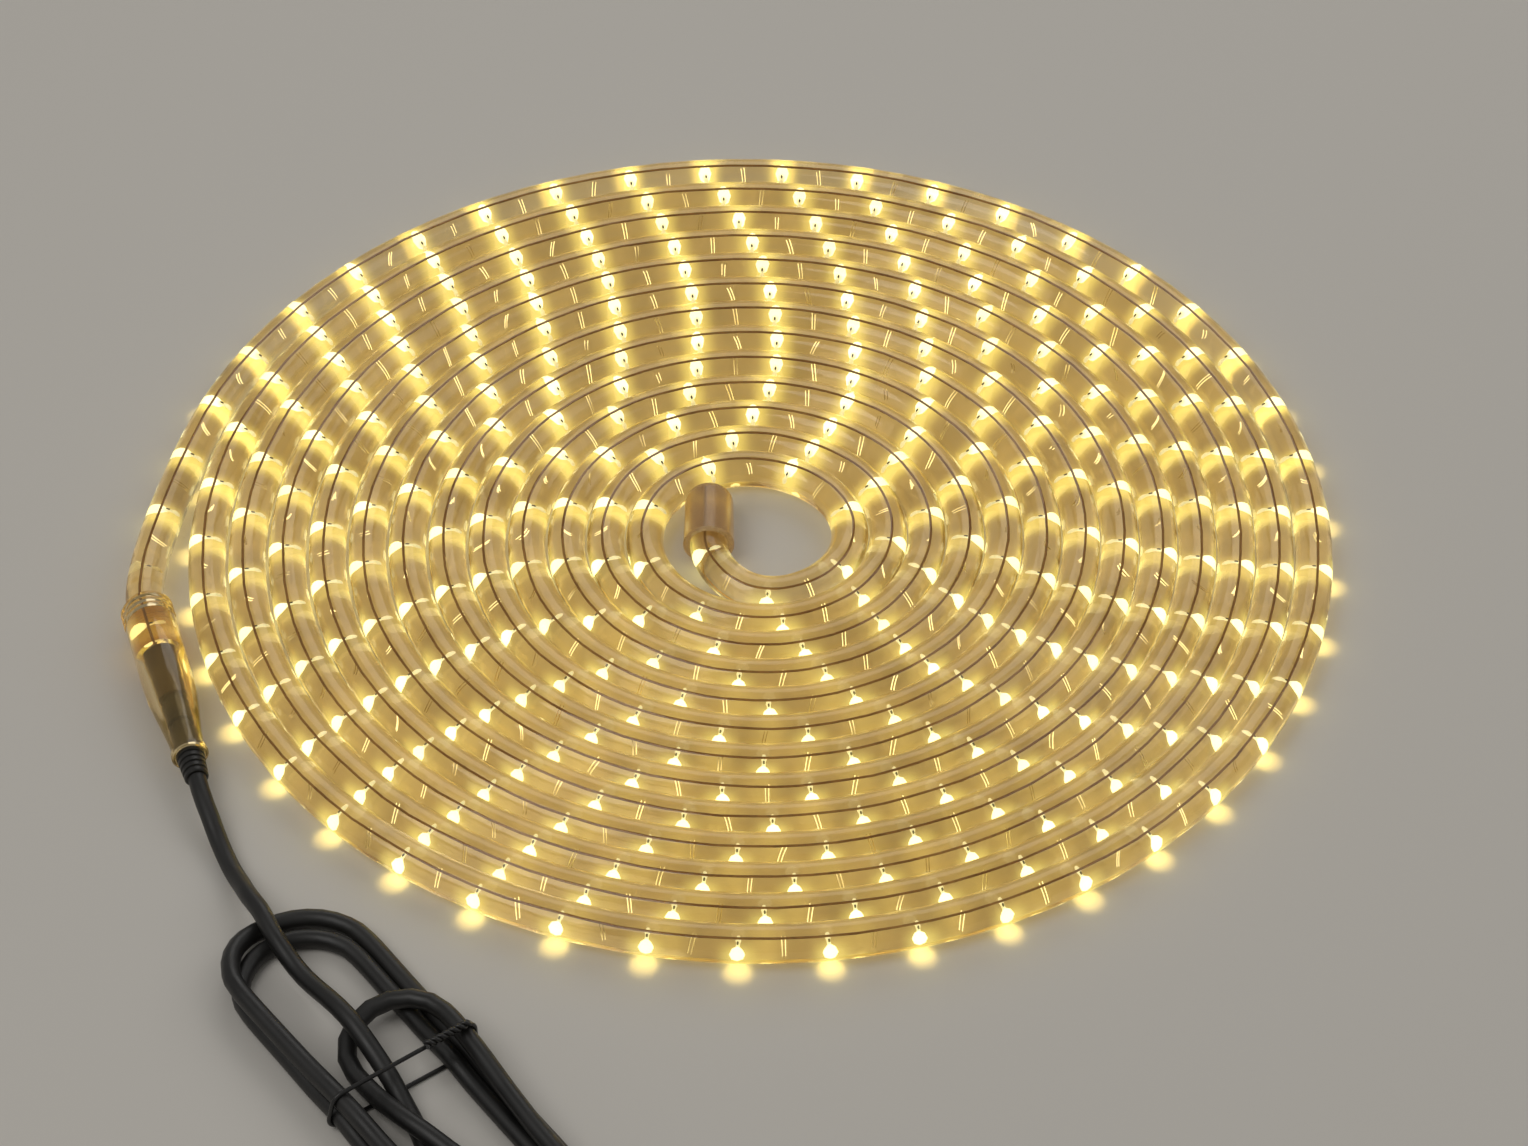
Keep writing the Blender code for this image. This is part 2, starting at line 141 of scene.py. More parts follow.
def new_material(name):
    """A material with its node tree, which is empty."""
    material = bpy.data.materials.new(name)
    material.use_nodes = True
    material.node_tree.nodes.clear()
    return material, material.node_tree


def new_object(name, data, *materials):
    """An object at the origin with its materials."""
    for material in materials:
        data.materials.append(material)
    obj = bpy.data.objects.new(name, data)
    bpy.context.scene.collection.objects.link(obj)
    return obj


def smooth_through(points, step):
    """Points about one step apart on the smooth curve through the given points."""
    ends = [2 * points[0] - points[1], *points, 2 * points[-1] - points[-2]]
    path = []
    for index in range(1, len(ends) - 2):
        before, start, end, after = ends[index - 1 : index + 3]
        count = max(1, round((end - start).length / step))
        for part in range(count):
            t = part / count
            straight = (end - before) * t
            square = (2 * before - 5 * start + 4 * end - after) * t * t
            cube = (3 * start - before - 3 * end + after) * t**3
            path.append(start + (straight + square + cube) / 2)
    path.append(points[-1])
    return path


def in_hank(along, across):
    return HANK_HEAD + along * HANK_WAY + across * HANK_SIDE


def fold(centre_along, from_across, to_across):
    """A half turn at an end of the hank, from one run to the next."""
    middle, radius = (from_across + to_across) / 2, (to_across - from_across) / 2
    outwards = 1 if centre_along == FOOT_CENTRE else -1
    points = []
    for step in range(FOLD_STEPS + 1):
        angle = math.pi * step / FOLD_STEPS
        along = centre_along + outwards * abs(radius) * math.sin(angle)
        points.append(in_hank(along, middle - radius * math.cos(angle)))
    return points


def eased(share):
    """A share from 0 to 1 that starts and ends slowly."""
    return share * share * (3 - 2 * share)


def run(start, end, across_start, across_end):
    """The middle points of a straight run that shifts a little sideways on its way."""
    points = []
    for share in (0.2, 0.4, 0.6, 0.8):
        across = across_start + eased(share) * (across_end - across_start)
        points.append(in_hank(start + share * (end - start), across))
    return points


def resting_height(place):
    """Height of the lead's middle on the floor, or on the tie's wire where that runs under the hank."""
    from_tie = abs((place - HANK_HEAD).dot(HANK_WAY) - TIE_PLACE)
    return CORD_DIAMETER / 2 + (TIE_WIRE if from_tie < 0.8 * LEAD_STEP else 0.0)


def lay_down(path, laid_first, start_height, end_height):
    """Lets a flat path rest on the floor and on the parts of itself that were laid before.

    The stretch up to the point laid_first comes last: it lies on all the rest."""
    near, slope, reach = round(2.5 * CORD_DIAMETER / LEAD_STEP), 0.28, 14
    count = len(path)
    order = list(range(laid_first, count)) + list(range(laid_first))
    heights = [resting_height(place) for place in path]
    for _ in range(4):
        needed = [resting_height(place) for place in path]
        for turn_in_order, i in enumerate(order):
            for j in order[:turn_in_order]:
                apart = (path[i] - path[j]).length
                if abs(i - j) > near and apart < CORD_DIAMETER:
                    needed[i] = max(needed[i], heights[j] + math.sqrt(CORD_DIAMETER**2 - apart**2))
        needed[0], needed[-1] = start_height, end_height
        heights = []
        for i in range(count):
            around = range(max(0, i - reach), min(count, i + reach + 1))
            heights.append(max(needed[j] - slope * LEAD_STEP * max(0, abs(i - j) - 1) for j in around))
        for _ in range(2):
            inner = [(a + 2 * b + c) / 4 for a, b, c in zip(heights, heights[1:], heights[2:])]
            heights = [start_height, *inner, end_height]
    return [Vector((place.x, place.y, height)) for place, height in zip(path, heights)]


over = [Vector((RELIEF_END.x + x, RELIEF_END.y + y, 0.0)) for x, y in LEAD_ROUTE]
over += [in_hank(*place) for place in HANK_START]
under = [in_hank(*place) for place in HANK_UNDER]
for fold_at, from_across, to_across, run_end, end_across in HANK_FOLDS:
    under += fold(fold_at, from_across, to_across)
    under += run(fold_at, run_end, to_across, end_across)
under += fold(THIRD_HEAD, HANK_FOLDS[-1][-1], HANK_END[0][1])
under += [in_hank(*place) for place in HANK_END]
under += [Vector((PLUG_START.x - 0.0005, PLUG_START.y, 0.0))]
flat_path = smooth_through(over + under, LEAD_STEP)
lead_path = lay_down(flat_path, len(smooth_through(over, LEAD_STEP)), RELIEF_END.z, PLUG_START.z)


def sheath_material(name, color, roughness, worn="#242322"):
    """Soft PVC as extruded or moulded: nearly smooth, with a faint grain, soft smudges and a dull sheen."""
    material, tree = new_material(name)
    place = add_node(tree, "ShaderNodeTexCoord").outputs["Object"]
    # grain of about half a millimetre, smudges of about 12 mm
    grain = add_node(tree, "ShaderNodeTexNoise", {"Vector": place, "Scale": 1900.0, "Detail": 3.0})
    smudge = add_node(tree, "ShaderNodeTexNoise", {"Vector": place, "Scale": 85.0, "Detail": 2.0})
    shade = add_node(
        tree, "ShaderNodeMapRange", {"Value": smudge, "From Min": 0.3, "From Max": 0.7,
        "To Min": roughness - 0.07, "To Max": roughness + 0.09},
    )
    paint = add_node(
        tree, "ShaderNodeMix", {"Factor": smudge, "A": linear(color), "B": linear(worn)},
        data_type="RGBA",
    )
    bump = add_node(tree, "ShaderNodeBump", {"Height": grain, "Strength": 0.25, "Distance": 0.0001})
    shader = add_node(
        tree, "ShaderNodeBsdfPrincipled",
        {"Base Color": paint.outputs["Result"], "Roughness": shade, "IOR": 1.53, "Normal": bump},
    )
    add_node(tree, "ShaderNodeOutputMaterial", {0: shader})
    return material


def path_object(name, *paths, radius=0.0, closed=False):
    """A curve object through the given points, as a round wire if it gets a radius."""
    curve = bpy.data.curves.new(name, "CURVE")
    curve.dimensions = "3D"
    curve.bevel_depth = radius
    curve.bevel_resolution = 6
    curve.use_fill_caps = radius > 0.0
    for number, path in enumerate(paths):
        line = curve.splines.new("POLY")
        line.points.add(len(path) - 1)
        line.use_cyclic_u = closed and number == 0
        for point, place in zip(line.points, path):
            point.co = (*place, 1.0)
    return new_object(name, curve)


cord_pvc = sheath_material("extruded_black_pvc", "#151515", 0.42)
mains_lead = path_object("mains_lead", lead_path, radius=CORD_DIAMETER / 2)
mains_lead.data.materials.append(cord_pvc)
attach(mains_lead, "root")
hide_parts("power_cord", "cord_hank", "power_cord_tail")


# Wire tie. A plastic-coated wire goes once round the hank at its middle, and its two ends are twisted
# together on top and bent flat.

TWIST_LENGTH, TWIST_TURNS, TWIST_STEPS = 0.015, 3.5, 28
COVER_STEPS = 24


def on_tie(across, height, along=0.0):
    return in_hank(TIE_PLACE + along, across) + height * UP


crossings = []
for before, after in zip(lead_path, lead_path[1:]):
    reaches = [(place - HANK_HEAD).dot(HANK_WAY) - TIE_PLACE for place in (before, after)]
    if reaches[0] * reaches[1] < 0.0:
        place = before.lerp(after, reaches[0] / (reaches[0] - reaches[1]))
        crossings.append(((place - HANK_HEAD).dot(HANK_SIDE), max(place.z, CORD_DIAMETER / 2 + TIE_WIRE)))
cover = (CORD_DIAMETER + TIE_WIRE) / 2
around = []
for across, height in crossings:
    for step in range(COVER_STEPS):
        angle = 2 * math.pi * step / COVER_STEPS
        around.append((across + cover * math.cos(angle), height + cover * math.sin(angle)))
loop = [on_tie(*around[corner]) for corner in convex_hull_2d(around)]
top_height = max(height for _, height in around)
twist_across = min(across for across, height in around if height > top_height - 0.0002)
strands = []
for strand in range(2):
    path = []
    for step in range(TWIST_STEPS + 1):
        share = step / TWIST_STEPS
        angle = math.pi * (strand + 2 * TWIST_TURNS * share)
        radius = TIE_WIRE * 0.52 * (1 + 2.2 * max(0.0, share - 0.85))
        rise = top_height + TIE_WIRE * 1.05 + radius * math.sin(angle)
        path.append(on_tie(twist_across + share * TWIST_LENGTH, rise, 0.0008 + radius * math.cos(angle)))
    strands.append([on_tie(twist_across - 0.001, top_height), *path])
tie_pvc = sheath_material("coated_tie_wire", "#1B1B1C", 0.3)
wire_tie = path_object("wire_tie", loop, *strands, radius=TIE_WIRE / 2, closed=True)
wire_tie.data.materials.append(tie_pvc)
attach(wire_tie, "root")
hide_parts("hank_tie")


# Plug. A flat moulded two-pin plug with a ribbed strain relief and a grip hollowed into both flat sides.
# Its two round pins are sleeved for half their length.

PLUG_WAY, PLUG_SIDE = Vector((1.0, 0.0, 0.0)), Vector((0.0, -1.0, 0.0))
PLUG_NECK, PLUG_FACE = 0.0223, 0.058
PLUG_HALF_WIDTH, PLUG_HALF_HEIGHT, NECK_HALF_WIDTH = 0.01765, 0.00685, 0.00725
FLARE_START, FLARE_LENGTH, PLUG_STEPS = 0.05, 0.58, 18
GRIP_START, GRIP_LENGTH, GRIP_DEPTH = 0.12, 0.62, 0.0011
RELIEF_RIBS, RIB_STEP, RIB_DEPTH = 6, 0.0032, 0.0008
RELIEF_START_RADIUS, RELIEF_END_RADIUS = 0.0039, 0.0048
PIN_ASIDE, PIN_SLEEVE = 0.0095, 0.0095
PIN_SLEEVE_BORE, PIN_SLEEVE_RADIUS = 0.00203, 0.0023


def turned_mesh(name, profile, sides, start=Vector(), way=Vector((1.0, 0.0, 0.0))):
    """A turned piece from an outline of (distance along its axis, radius).

    An outline that starts on the axis ends there too; any other one closes on itself, round a bore."""
    side = way.cross(UP).normalized()
    up = side.cross(way)
    bm = bmesh.new()
    rings = []
    for distance, radius in profile:
        angles = [2 * math.pi * k / sides for k in range(sides)] if radius else [0.0]
        ring = [start + distance * way + radius * (math.cos(a) * side + math.sin(a) * up) for a in angles]
        rings.append([bm.verts.new(point) for point in ring])
    pairs = zip(rings, rings[1:] if profile[0][1] == 0.0 else rings[1:] + rings[:1])
    for ring, following in pairs:
        for k in range(sides):
            other = (k + 1) % sides
            corners = [ring[k % len(ring)], ring[other % len(ring)]]
            corners += [following[other % len(following)], following[k % len(following)]]
            bm.faces.new(list(dict.fromkeys(corners)))
    return finished_mesh(name, bm)


def finished_mesh(name, bm, sharp=40.0):
    """Turns a closed bmesh into a mesh with its faces pointing out and its round sides smooth."""
    bmesh.ops.recalc_face_normals(bm, faces=bm.faces)
    if bm.calc_volume(signed=True) < 0:
        bmesh.ops.reverse_faces(bm, faces=bm.faces)
    mesh = bpy.data.meshes.new(name)
    bm.to_mesh(mesh)
    bm.free()
    mesh.shade_smooth()
    mesh.set_sharp_from_angle(angle=math.radians(sharp))
    return mesh


def plug_section(distance, half_width, half_height, corner):
    """A rounded rectangle across the plug, at this distance from the lead's end of it."""
    ring = []
    for quarter, (across, rise) in enumerate(((1, 1), (-1, 1), (-1, -1), (1, -1))):
        for step in range(9):
            angle = math.pi / 2 * (quarter + step / 8)
            out = across * (half_width - corner) + corner * math.cos(angle)
            high = rise * (half_height - corner) + corner * math.sin(angle)
            ring.append(PLUG_START + distance * PLUG_WAY + out * PLUG_SIDE + high * UP)
    return ring


bm = bmesh.new()
sections = [(PLUG_NECK, NECK_HALF_WIDTH - 0.0010, PLUG_HALF_HEIGHT - 0.0016, 0.0030)]
for step in range(PLUG_STEPS + 1):
    share = step / PLUG_STEPS
    flare = eased(min(1.0, max(0.0, (share - FLARE_START) / FLARE_LENGTH)))
    half_width = NECK_HALF_WIDTH + flare * (PLUG_HALF_WIDTH - NECK_HALF_WIDTH)
    in_grip = min(1.0, max(0.0, (share - GRIP_START) / GRIP_LENGTH))
    grip = GRIP_DEPTH * math.sin(math.pi * in_grip)
    distance = PLUG_NECK + 0.0010 + share * (PLUG_FACE - PLUG_NECK - 0.0022)
    sections.append((distance, half_width, PLUG_HALF_HEIGHT - grip, 0.0034))
sections.append((PLUG_FACE - 0.0004, PLUG_HALF_WIDTH - 0.0004, PLUG_HALF_HEIGHT - 0.0004, 0.0031))
sections.append((PLUG_FACE, PLUG_HALF_WIDTH - 0.0013, PLUG_HALF_HEIGHT - 0.0013, 0.0024))
rings = [[bm.verts.new(point) for point in plug_section(*section)] for section in sections]
for ring, following in zip(rings, rings[1:]):
    for k in range(len(ring)):
        other = (k + 1) % len(ring)
        bm.faces.new((ring[k], ring[other], following[other], following[k]))
bm.faces.new(rings[0])
bm.faces.new(rings[-1])
moulded_black = sheath_material("moulded_black_pvc", "#171614", 0.36)
plug_moulding = new_object("plug_moulding", finished_mesh("plug_moulding", bm, 50.0), moulded_black)
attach(plug_moulding, "root")
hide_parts("plug_body")

relief_profile = [(0.0, 0.0), (0.0, RELIEF_START_RADIUS - 0.0003), (0.0004, RELIEF_START_RADIUS)]
for rib in range(RELIEF_RIBS):
    at = 0.0022 + rib * RIB_STEP
    widening = (RELIEF_END_RADIUS - RELIEF_START_RADIUS) * (rib + 1) / (RELIEF_RIBS + 1)
    radius = RELIEF_START_RADIUS + widening
    relief_profile += [(at, radius), (at + 0.0003, radius - RIB_DEPTH)]
    relief_profile += [(at + 0.0014, radius - RIB_DEPTH), (at + 0.0017, radius)]
relief_profile += [(PLUG_NECK + 0.0004, RELIEF_END_RADIUS), (PLUG_NECK + 0.0004, 0.0)]
relief_mesh = turned_mesh("plug_relief", relief_profile, 32, PLUG_START, PLUG_WAY)
plug_relief = new_object("plug_relief", relief_mesh, moulded_black)
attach(plug_relief, "root")

for number, side in ((1, 1), (2, -1)):
    root = PLUG_START + (PLUG_FACE + 0.00005) * PLUG_WAY + side * PIN_ASIDE * PLUG_SIDE
    ring_profile = [(0.0, PIN_SLEEVE_BORE), (0.0, PIN_SLEEVE_RADIUS)]
    ring_profile += [(PIN_SLEEVE - 0.0002, PIN_SLEEVE_RADIUS), (PIN_SLEEVE, PIN_SLEEVE_RADIUS - 0.0002)]
    ring_profile += [(PIN_SLEEVE, PIN_SLEEVE_BORE)]
    name = f"plug_pin_sleeve_{number}"
    pin_sleeve = new_object(name, turned_mesh(name, ring_profile, 32, root, PLUG_WAY), moulded_black)
    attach(pin_sleeve, "root")


# Rope. An extrusion of clear soft PVC, 12.5 mm thick and 9 m long, laid in a flat spiral of 12.6 turns. Its
# outer end runs out to the sleeve and its inner end curls into the cap.

ROPE_RADIUS = 0.00625
COIL_TURNS = 12.62
TURN_STEP = 0.01312
COIL_INNER_RADIUS = 0.02851
COIL_OUTER_ANGLE = 167.4
COIL_DRIFT = Vector((0.0026, -0.0031, 0.0))
COIL_SWELL, SWELL_ANGLE = 0.0020, 135.0
STEPS_PER_TURN = 96
SLEEVE_MOUTH = Vector((-0.19211, -0.04314, 0.00866))
SLEEVE_WAY = Vector((math.cos(math.radians(-73.0)), math.sin(math.radians(-73.0)), 0.0))
SLEEVE_GRIP = 0.0235
cap_low, cap_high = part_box("end_cap")
CAP_MOUTH = Vector(((cap_low.x + cap_high.x) / 2, cap_low.y, (cap_low.z + cap_high.z) / 2))
CAP_WAY = Vector((0.0, 1.0, 0.0))
CAP_DEPTH = 0.0222
ROPE_IN_CAP = 0.0219


def coil_point(turns_in):
    """A point of the coil's centre line, counted in turns from its outer end.

    The inner turns are pushed outwards a little on the side where the cap lies within them."""
    degrees = COIL_OUTER_ANGLE - 360 * turns_in
    angle = math.radians(degrees)
    beside_cap = max(math.cos(math.radians(degrees - SWELL_ANGLE)), 0.0) ** 2
    radius = COIL_INNER_RADIUS + TURN_STEP * (COIL_TURNS - turns_in)
    radius += COIL_SWELL * (turns_in / COIL_TURNS) ** 4 * beside_cap
    middle = COIL_POLE + (turns_in / COIL_TURNS - 0.5) * COIL_DRIFT
    return middle + Vector((radius * math.cos(angle), radius * math.sin(angle), ROPE_RADIUS))


def coil_heading(turns_in):
    return (coil_point(turns_in + 0.001) - coil_point(turns_in - 0.001)).normalized()


def bend(start, start_heading, start_pull, end, end_heading, end_pull, steps):
    """Points of the smooth curve between two ends that each follow their own heading."""
    corners = (start, start + start_pull * start_heading, end - end_pull * end_heading, end)
    points = []
    for step in range(steps + 1):
        t = step / steps
        weights = ((1 - t) ** 3, 3 * t * (1 - t) ** 2, 3 * t * t * (1 - t), t**3)
        points.append(sum((w * c for w, c in zip(weights, corners)), Vector()))
    return points


outer_tail = bend(coil_point(0.0), -coil_heading(0.0), 0.045, SLEEVE_MOUTH, SLEEVE_WAY, 0.010, 28)
inner_tail = bend(coil_point(COIL_TURNS), coil_heading(COIL_TURNS), 0.024, CAP_MOUTH, CAP_WAY, 0.009, 24)
rope_path = [SLEEVE_MOUTH + SLEEVE_GRIP * share * SLEEVE_WAY for share in (1.0, 0.66, 0.33)]
rope_path += reversed(outer_tail)
coil_steps = round(COIL_TURNS * STEPS_PER_TURN)
rope_path += [coil_point(COIL_TURNS * step / coil_steps) for step in range(1, coil_steps)]
rope_path += inner_tail
rope_path += [CAP_MOUTH + ROPE_IN_CAP * share * CAP_WAY for share in (0.33, 0.66, 1.0)]


def length_of(path):
    return sum((b - a).length for a, b in zip(path, path[1:]))


LAMP_PITCH = 0.02778
LAMPS_BEFORE_COIL, UNLIT_END = 0.0902, 0.026
FIRST_LAMP = SLEEVE_GRIP + length_of(outer_tail) - LAMPS_BEFORE_COIL
LAMP_COUNT = 2 + int((length_of(rope_path) - FIRST_LAMP - UNLIT_END) / LAMP_PITCH)
# lamps tilt 5 degrees and sit 0.8 mm low; the painted glow's side of the rope faces 25 degrees below level
LAMP_DIP, LAMP_DROP, PAINTED_GLOW_DIP = 5.0, 0.0008, 25.0
OUTER_LAMPS, OUTER_SHIFT = 4, 0.0060
INNER_LAMPS, INNER_SHIFT = 45, 0.0080
UNLIT_LAMP = 1


def lamp_reach(number):
    """How far along the rope a lamp sits; the pitch is wider at the outer end and less at the inner one."""
    outer = max(0.0, 1 - number / OUTER_LAMPS) ** 2
    inner = max(0.0, 1 - (LAMP_COUNT - number) / INNER_LAMPS)
    return FIRST_LAMP + number * LAMP_PITCH - OUTER_SHIFT * outer - INNER_SHIFT * inner


def new_tree(name, sizes, materials=(), objects=()):
    """A Geometry Nodes tree with named sizes, materials and objects as its inputs."""
    tree = bpy.data.node_groups.new(name, "GeometryNodeTree")
    groups = {"Geometry": ("Geometry",), "Float": sizes, "Material": materials, "Object": objects}
    for kind, names in groups.items():
        for socket in names:
            tree.interface.new_socket(socket, in_out="INPUT", socket_type=f"NodeSocket{kind}")
    tree.interface.new_socket("Geometry", in_out="OUTPUT", socket_type="NodeSocketGeometry")
    return tree, add_node(tree, "NodeGroupInput").outputs


def grow(name, base, tree, values):
    """Runs a tree on a base object with these values and keeps the result as a plain mesh object."""
    modifier = base.modifiers.new(name, "NODES")
    modifier.node_group = tree
    for socket in tree.interface.items_tree:
        if socket.item_type == "SOCKET" and socket.in_out == "INPUT" and socket.name in values:
            modifier[socket.identifier] = values[socket.name]
    bpy.context.view_layer.update()
    graph = bpy.context.evaluated_depsgraph_get()
    mesh = bpy.data.meshes.new_from_object(base.evaluated_get(graph), depsgraph=graph)
    base.modifiers.remove(modifier)
    mesh.name = name
    return new_object(name, mesh)


def lamp_shift(tree, number):
    """The same correction of a lamp's place as in lamp_reach, for a number that a tree works out."""
    outer = add_node(
        tree, "ShaderNodeMapRange",
        {"Value": number, "From Min": 0.0, "From Max": float(OUTER_LAMPS), "To Min": 1.0, "To Max": 0.0},
    )
    square = add_node(tree, "ShaderNodeMath", {0: outer, 1: 2.0}, operation="POWER")
    inner = add_node(
        tree, "ShaderNodeMapRange",
        {"Value": number, "From Min": float(LAMP_COUNT - INNER_LAMPS), "From Max": float(LAMP_COUNT),
        "To Min": 0.0, "To Max": -INNER_SHIFT},
    )
    return add_node(
        tree, "ShaderNodeMath", {0: square, 1: -OUTER_SHIFT, 2: inner}, operation="MULTIPLY_ADD"
    )


def tube_tree(name):
    """A round bar along a curve, shifted outwards and upwards in the curve's own section.

    Its skin knows how far along the rope it is, and how much it faces the way that the lamps shine."""
    sizes = ("Radius", "Sides", "Outwards", "Upwards", "Wobble", "Slope")
    tree, given = new_tree(name, sizes, ("Material",))
    upright = add_node(tree, "GeometryNodeSetCurveNormal", {"Curve": given["Geometry"]}, mode="Z_UP")
    length = add_node(tree, "GeometryNodeSplineParameter").outputs["Length"]
    number = add_node(
        tree, "ShaderNodeMath", {0: length, 1: 1 / LAMP_PITCH, 2: -FIRST_LAMP / LAMP_PITCH},
        operation="MULTIPLY_ADD",
    )
    along = add_node(
        tree, "ShaderNodeMath", {0: length, 1: lamp_shift(tree, number)}, operation="SUBTRACT"
    )
    # the upright curve's normal points to the coil's middle, so the way out is the other way round
    outwards = add_node(
        tree, "ShaderNodeVectorMath", {0: add_node(tree, "GeometryNodeInputNormal"), "Scale": -1.0},
        operation="SCALE",
    )
    parts = add_node(tree, "ShaderNodeSeparateXYZ", {0: outwards}).outputs
    curve = upright
    for kept, value in (("along", along), ("out_x", parts["X"]), ("out_y", parts["Y"])):
        curve = add_node(
            tree, "GeometryNodeStoreNamedAttribute", {"Geometry": curve, "Name": kept, "Value": value},
            data_type="FLOAT", domain="POINT",
        )
    # a wander of the wire in its plastic, over about 30 mm
    drift = add_node(
        tree, "ShaderNodeTexNoise", {"W": length, "Scale": 33.0, "Detail": 2.0}, noise_dimensions="1D"
    )
    inwards = add_node(tree, "ShaderNodeMath", {0: given["Wobble"], 1: -1.0}, operation="MULTIPLY")
    wander = add_node(
        tree, "ShaderNodeMapRange",
        {"Value": drift, "From Min": 0.3, "From Max": 0.7, "To Min": inwards, "To Max": given["Wobble"]},
    )
    reach = add_node(tree, "ShaderNodeMath", {0: given["Outwards"], 1: wander})
    aside = add_node(tree, "ShaderNodeVectorMath", {0: outwards, "Scale": reach}, operation="SCALE")
    rise = add_node(tree, "ShaderNodeCombineXYZ", {"Z": given["Upwards"]})
    shift = add_node(tree, "ShaderNodeVectorMath", {0: aside, 1: rise})
    moved = add_node(tree, "GeometryNodeSetPosition", {"Geometry": curve, "Offset": shift})
    section = add_node(
        tree, "GeometryNodeCurvePrimitiveCircle", {"Resolution": given["Sides"], "Radius": given["Radius"]}
    )
    bar = add_node(
        tree, "GeometryNodeCurveToMesh", {"Curve": moved, "Profile Curve": section, "Fill Caps": True}
    )
    way_out = add_node(
        tree, "ShaderNodeCombineXYZ",
        {axis: add_node(tree, "GeometryNodeInputNamedAttribute", {"Name": kept})
        for axis, kept in (("X", "out_x"), ("Y", "out_y"))},
    )
    level = add_node(tree, "ShaderNodeMath", {0: given["Slope"]}, operation="COSINE")
    drop = add_node(tree, "ShaderNodeMath", {0: given["Slope"]}, operation="SINE")
    ahead = add_node(tree, "ShaderNodeVectorMath", {0: way_out, "Scale": level}, operation="SCALE")
    shine = add_node(
        tree, "ShaderNodeVectorMath", {0: ahead, 1: add_node(tree, "ShaderNodeCombineXYZ", {"Z": drop})}
    )
    facing = add_node(
        tree, "ShaderNodeVectorMath",
        {0: add_node(tree, "GeometryNodeInputNormal"), 1: shine}, operation="DOT_PRODUCT",
    )
    skin = add_node(
        tree, "GeometryNodeStoreNamedAttribute",
        {"Geometry": bar, "Name": "facing_lamp", "Value": facing.outputs["Value"]},
        data_type="FLOAT", domain="POINT",
    )
    smooth = add_node(tree, "GeometryNodeSetShadeSmooth", {"Geometry": skin})
    solid = add_node(tree, "GeometryNodeRealizeInstances", {"Geometry": smooth})
    painted = add_node(
        tree, "GeometryNodeSetMaterial", {"Geometry": solid, "Material": given["Material"]}
    )
    add_node(tree, "NodeGroupOutput", {"Geometry": painted})
    return tree


def painted_lamp_glow(tree):
    """How strongly a place on the rope's skin gets painted lamp light, from 0 to 1: a painted pool in front
    of a lamp.
    """
    along = add_node(tree, "ShaderNodeAttribute", attribute_name="along").outputs["Fac"]
    facing = add_node(tree, "ShaderNodeAttribute", attribute_name="facing_lamp").outputs["Fac"]
    pitches = add_node(
        tree, "ShaderNodeMath", {0: along, 1: 1 / LAMP_PITCH, 2: -FIRST_LAMP / LAMP_PITCH},
        operation="MULTIPLY_ADD",
    )
    distance = add_node(tree, "ShaderNodeMath", {0: pitches, 1: 0.5}, operation="PINGPONG")
    # the painted pool of lamp light in front of a lamp fades over about 8 mm
    near = add_node(
        tree, "ShaderNodeMapRange",
        {"Value": distance, "From Min": 0.0, "From Max": 0.30, "To Min": 1.0, "To Max": 0.0},
        interpolation_type="SMOOTHERSTEP",
    )
    in_front = add_node(
        tree, "ShaderNodeMapRange", {"Value": facing, "From Min": 0.0, "From Max": 0.95},
        interpolation_type="SMOOTHSTEP",
    )
    painted_glow_patch = add_node(tree, "ShaderNodeMath", {0: near, 1: in_front}, operation="MULTIPLY")
    number = add_node(tree, "ShaderNodeMath", {0: pitches}, operation="ROUND")
    unlit = add_node(
        tree, "ShaderNodeMath", {0: number, 1: float(UNLIT_LAMP), 2: 0.5}, operation="COMPARE"
    )
    lit = add_node(tree, "ShaderNodeMath", {0: 1.0, 1: unlit}, operation="SUBTRACT")
    return add_node(tree, "ShaderNodeMath", {0: painted_glow_patch, 1: lit}, operation="MULTIPLY")


def clear_pvc_material(name, tint, glow, strength, roughness):
    """Clear soft PVC as extruded: glossy, warm in its thickness, with painted glow for the light of its own
    lamps.
    """
    material, tree = new_material(name)
    place = add_node(tree, "ShaderNodeTexCoord").outputs["Object"]
    # slow waves of the extruded skin, about 9 mm long
    waves = add_node(tree, "ShaderNodeTexNoise", {"Vector": place, "Scale": 110.0, "Detail": 1.0})
    bump = add_node(tree, "ShaderNodeBump", {"Height": waves, "Strength": 0.3, "Distance": 0.0005})
    # painted glow between the lamps, in brighter and browner patches about 14 mm long
    painted_glow_patch = add_node(tree, "ShaderNodeTexNoise", {"Vector": place, "Scale": 70.0, "Detail": 4.0})
    painted_glow_mottle = add_node(tree, "ShaderNodeMapRange", {"Value": painted_glow_patch, "From Min": 0.36, "From Max": 0.64})
    dull = add_node(
        tree, "ShaderNodeMix",
        {"Factor": painted_glow_mottle, "A": linear(glow[0]), "B": linear(glow[1])}, data_type="RGBA",
    )
    # the painted pool of lamp light over the mottled painted glow
    painted_glow_color = add_node(
        tree, "ShaderNodeMix",
        {"Factor": painted_lamp_glow(tree), "A": dull.outputs["Result"], "B": linear(glow[2])}, data_type="RGBA",
    )
    shader = add_node(
        tree, "ShaderNodeBsdfPrincipled",
        {"Base Color": linear(tint), "Roughness": roughness, "IOR": 1.53, "Transmission Weight": 1.0,
        "Normal": bump, "Emission Color": painted_glow_color.outputs["Result"],
        "Emission Strength": strength},
    )
    passing = add_node(tree, "ShaderNodeBsdfTransparent", {"Color": linear(tint)})
    lamps_through = add_node(
        tree, "ShaderNodeMixShader",
        {0: add_node(tree, "ShaderNodeLightPath").outputs["Is Shadow Ray"], 1: shader, 2: passing},
    )
    add_node(tree, "ShaderNodeOutputMaterial", {0: lamps_through})
    return material
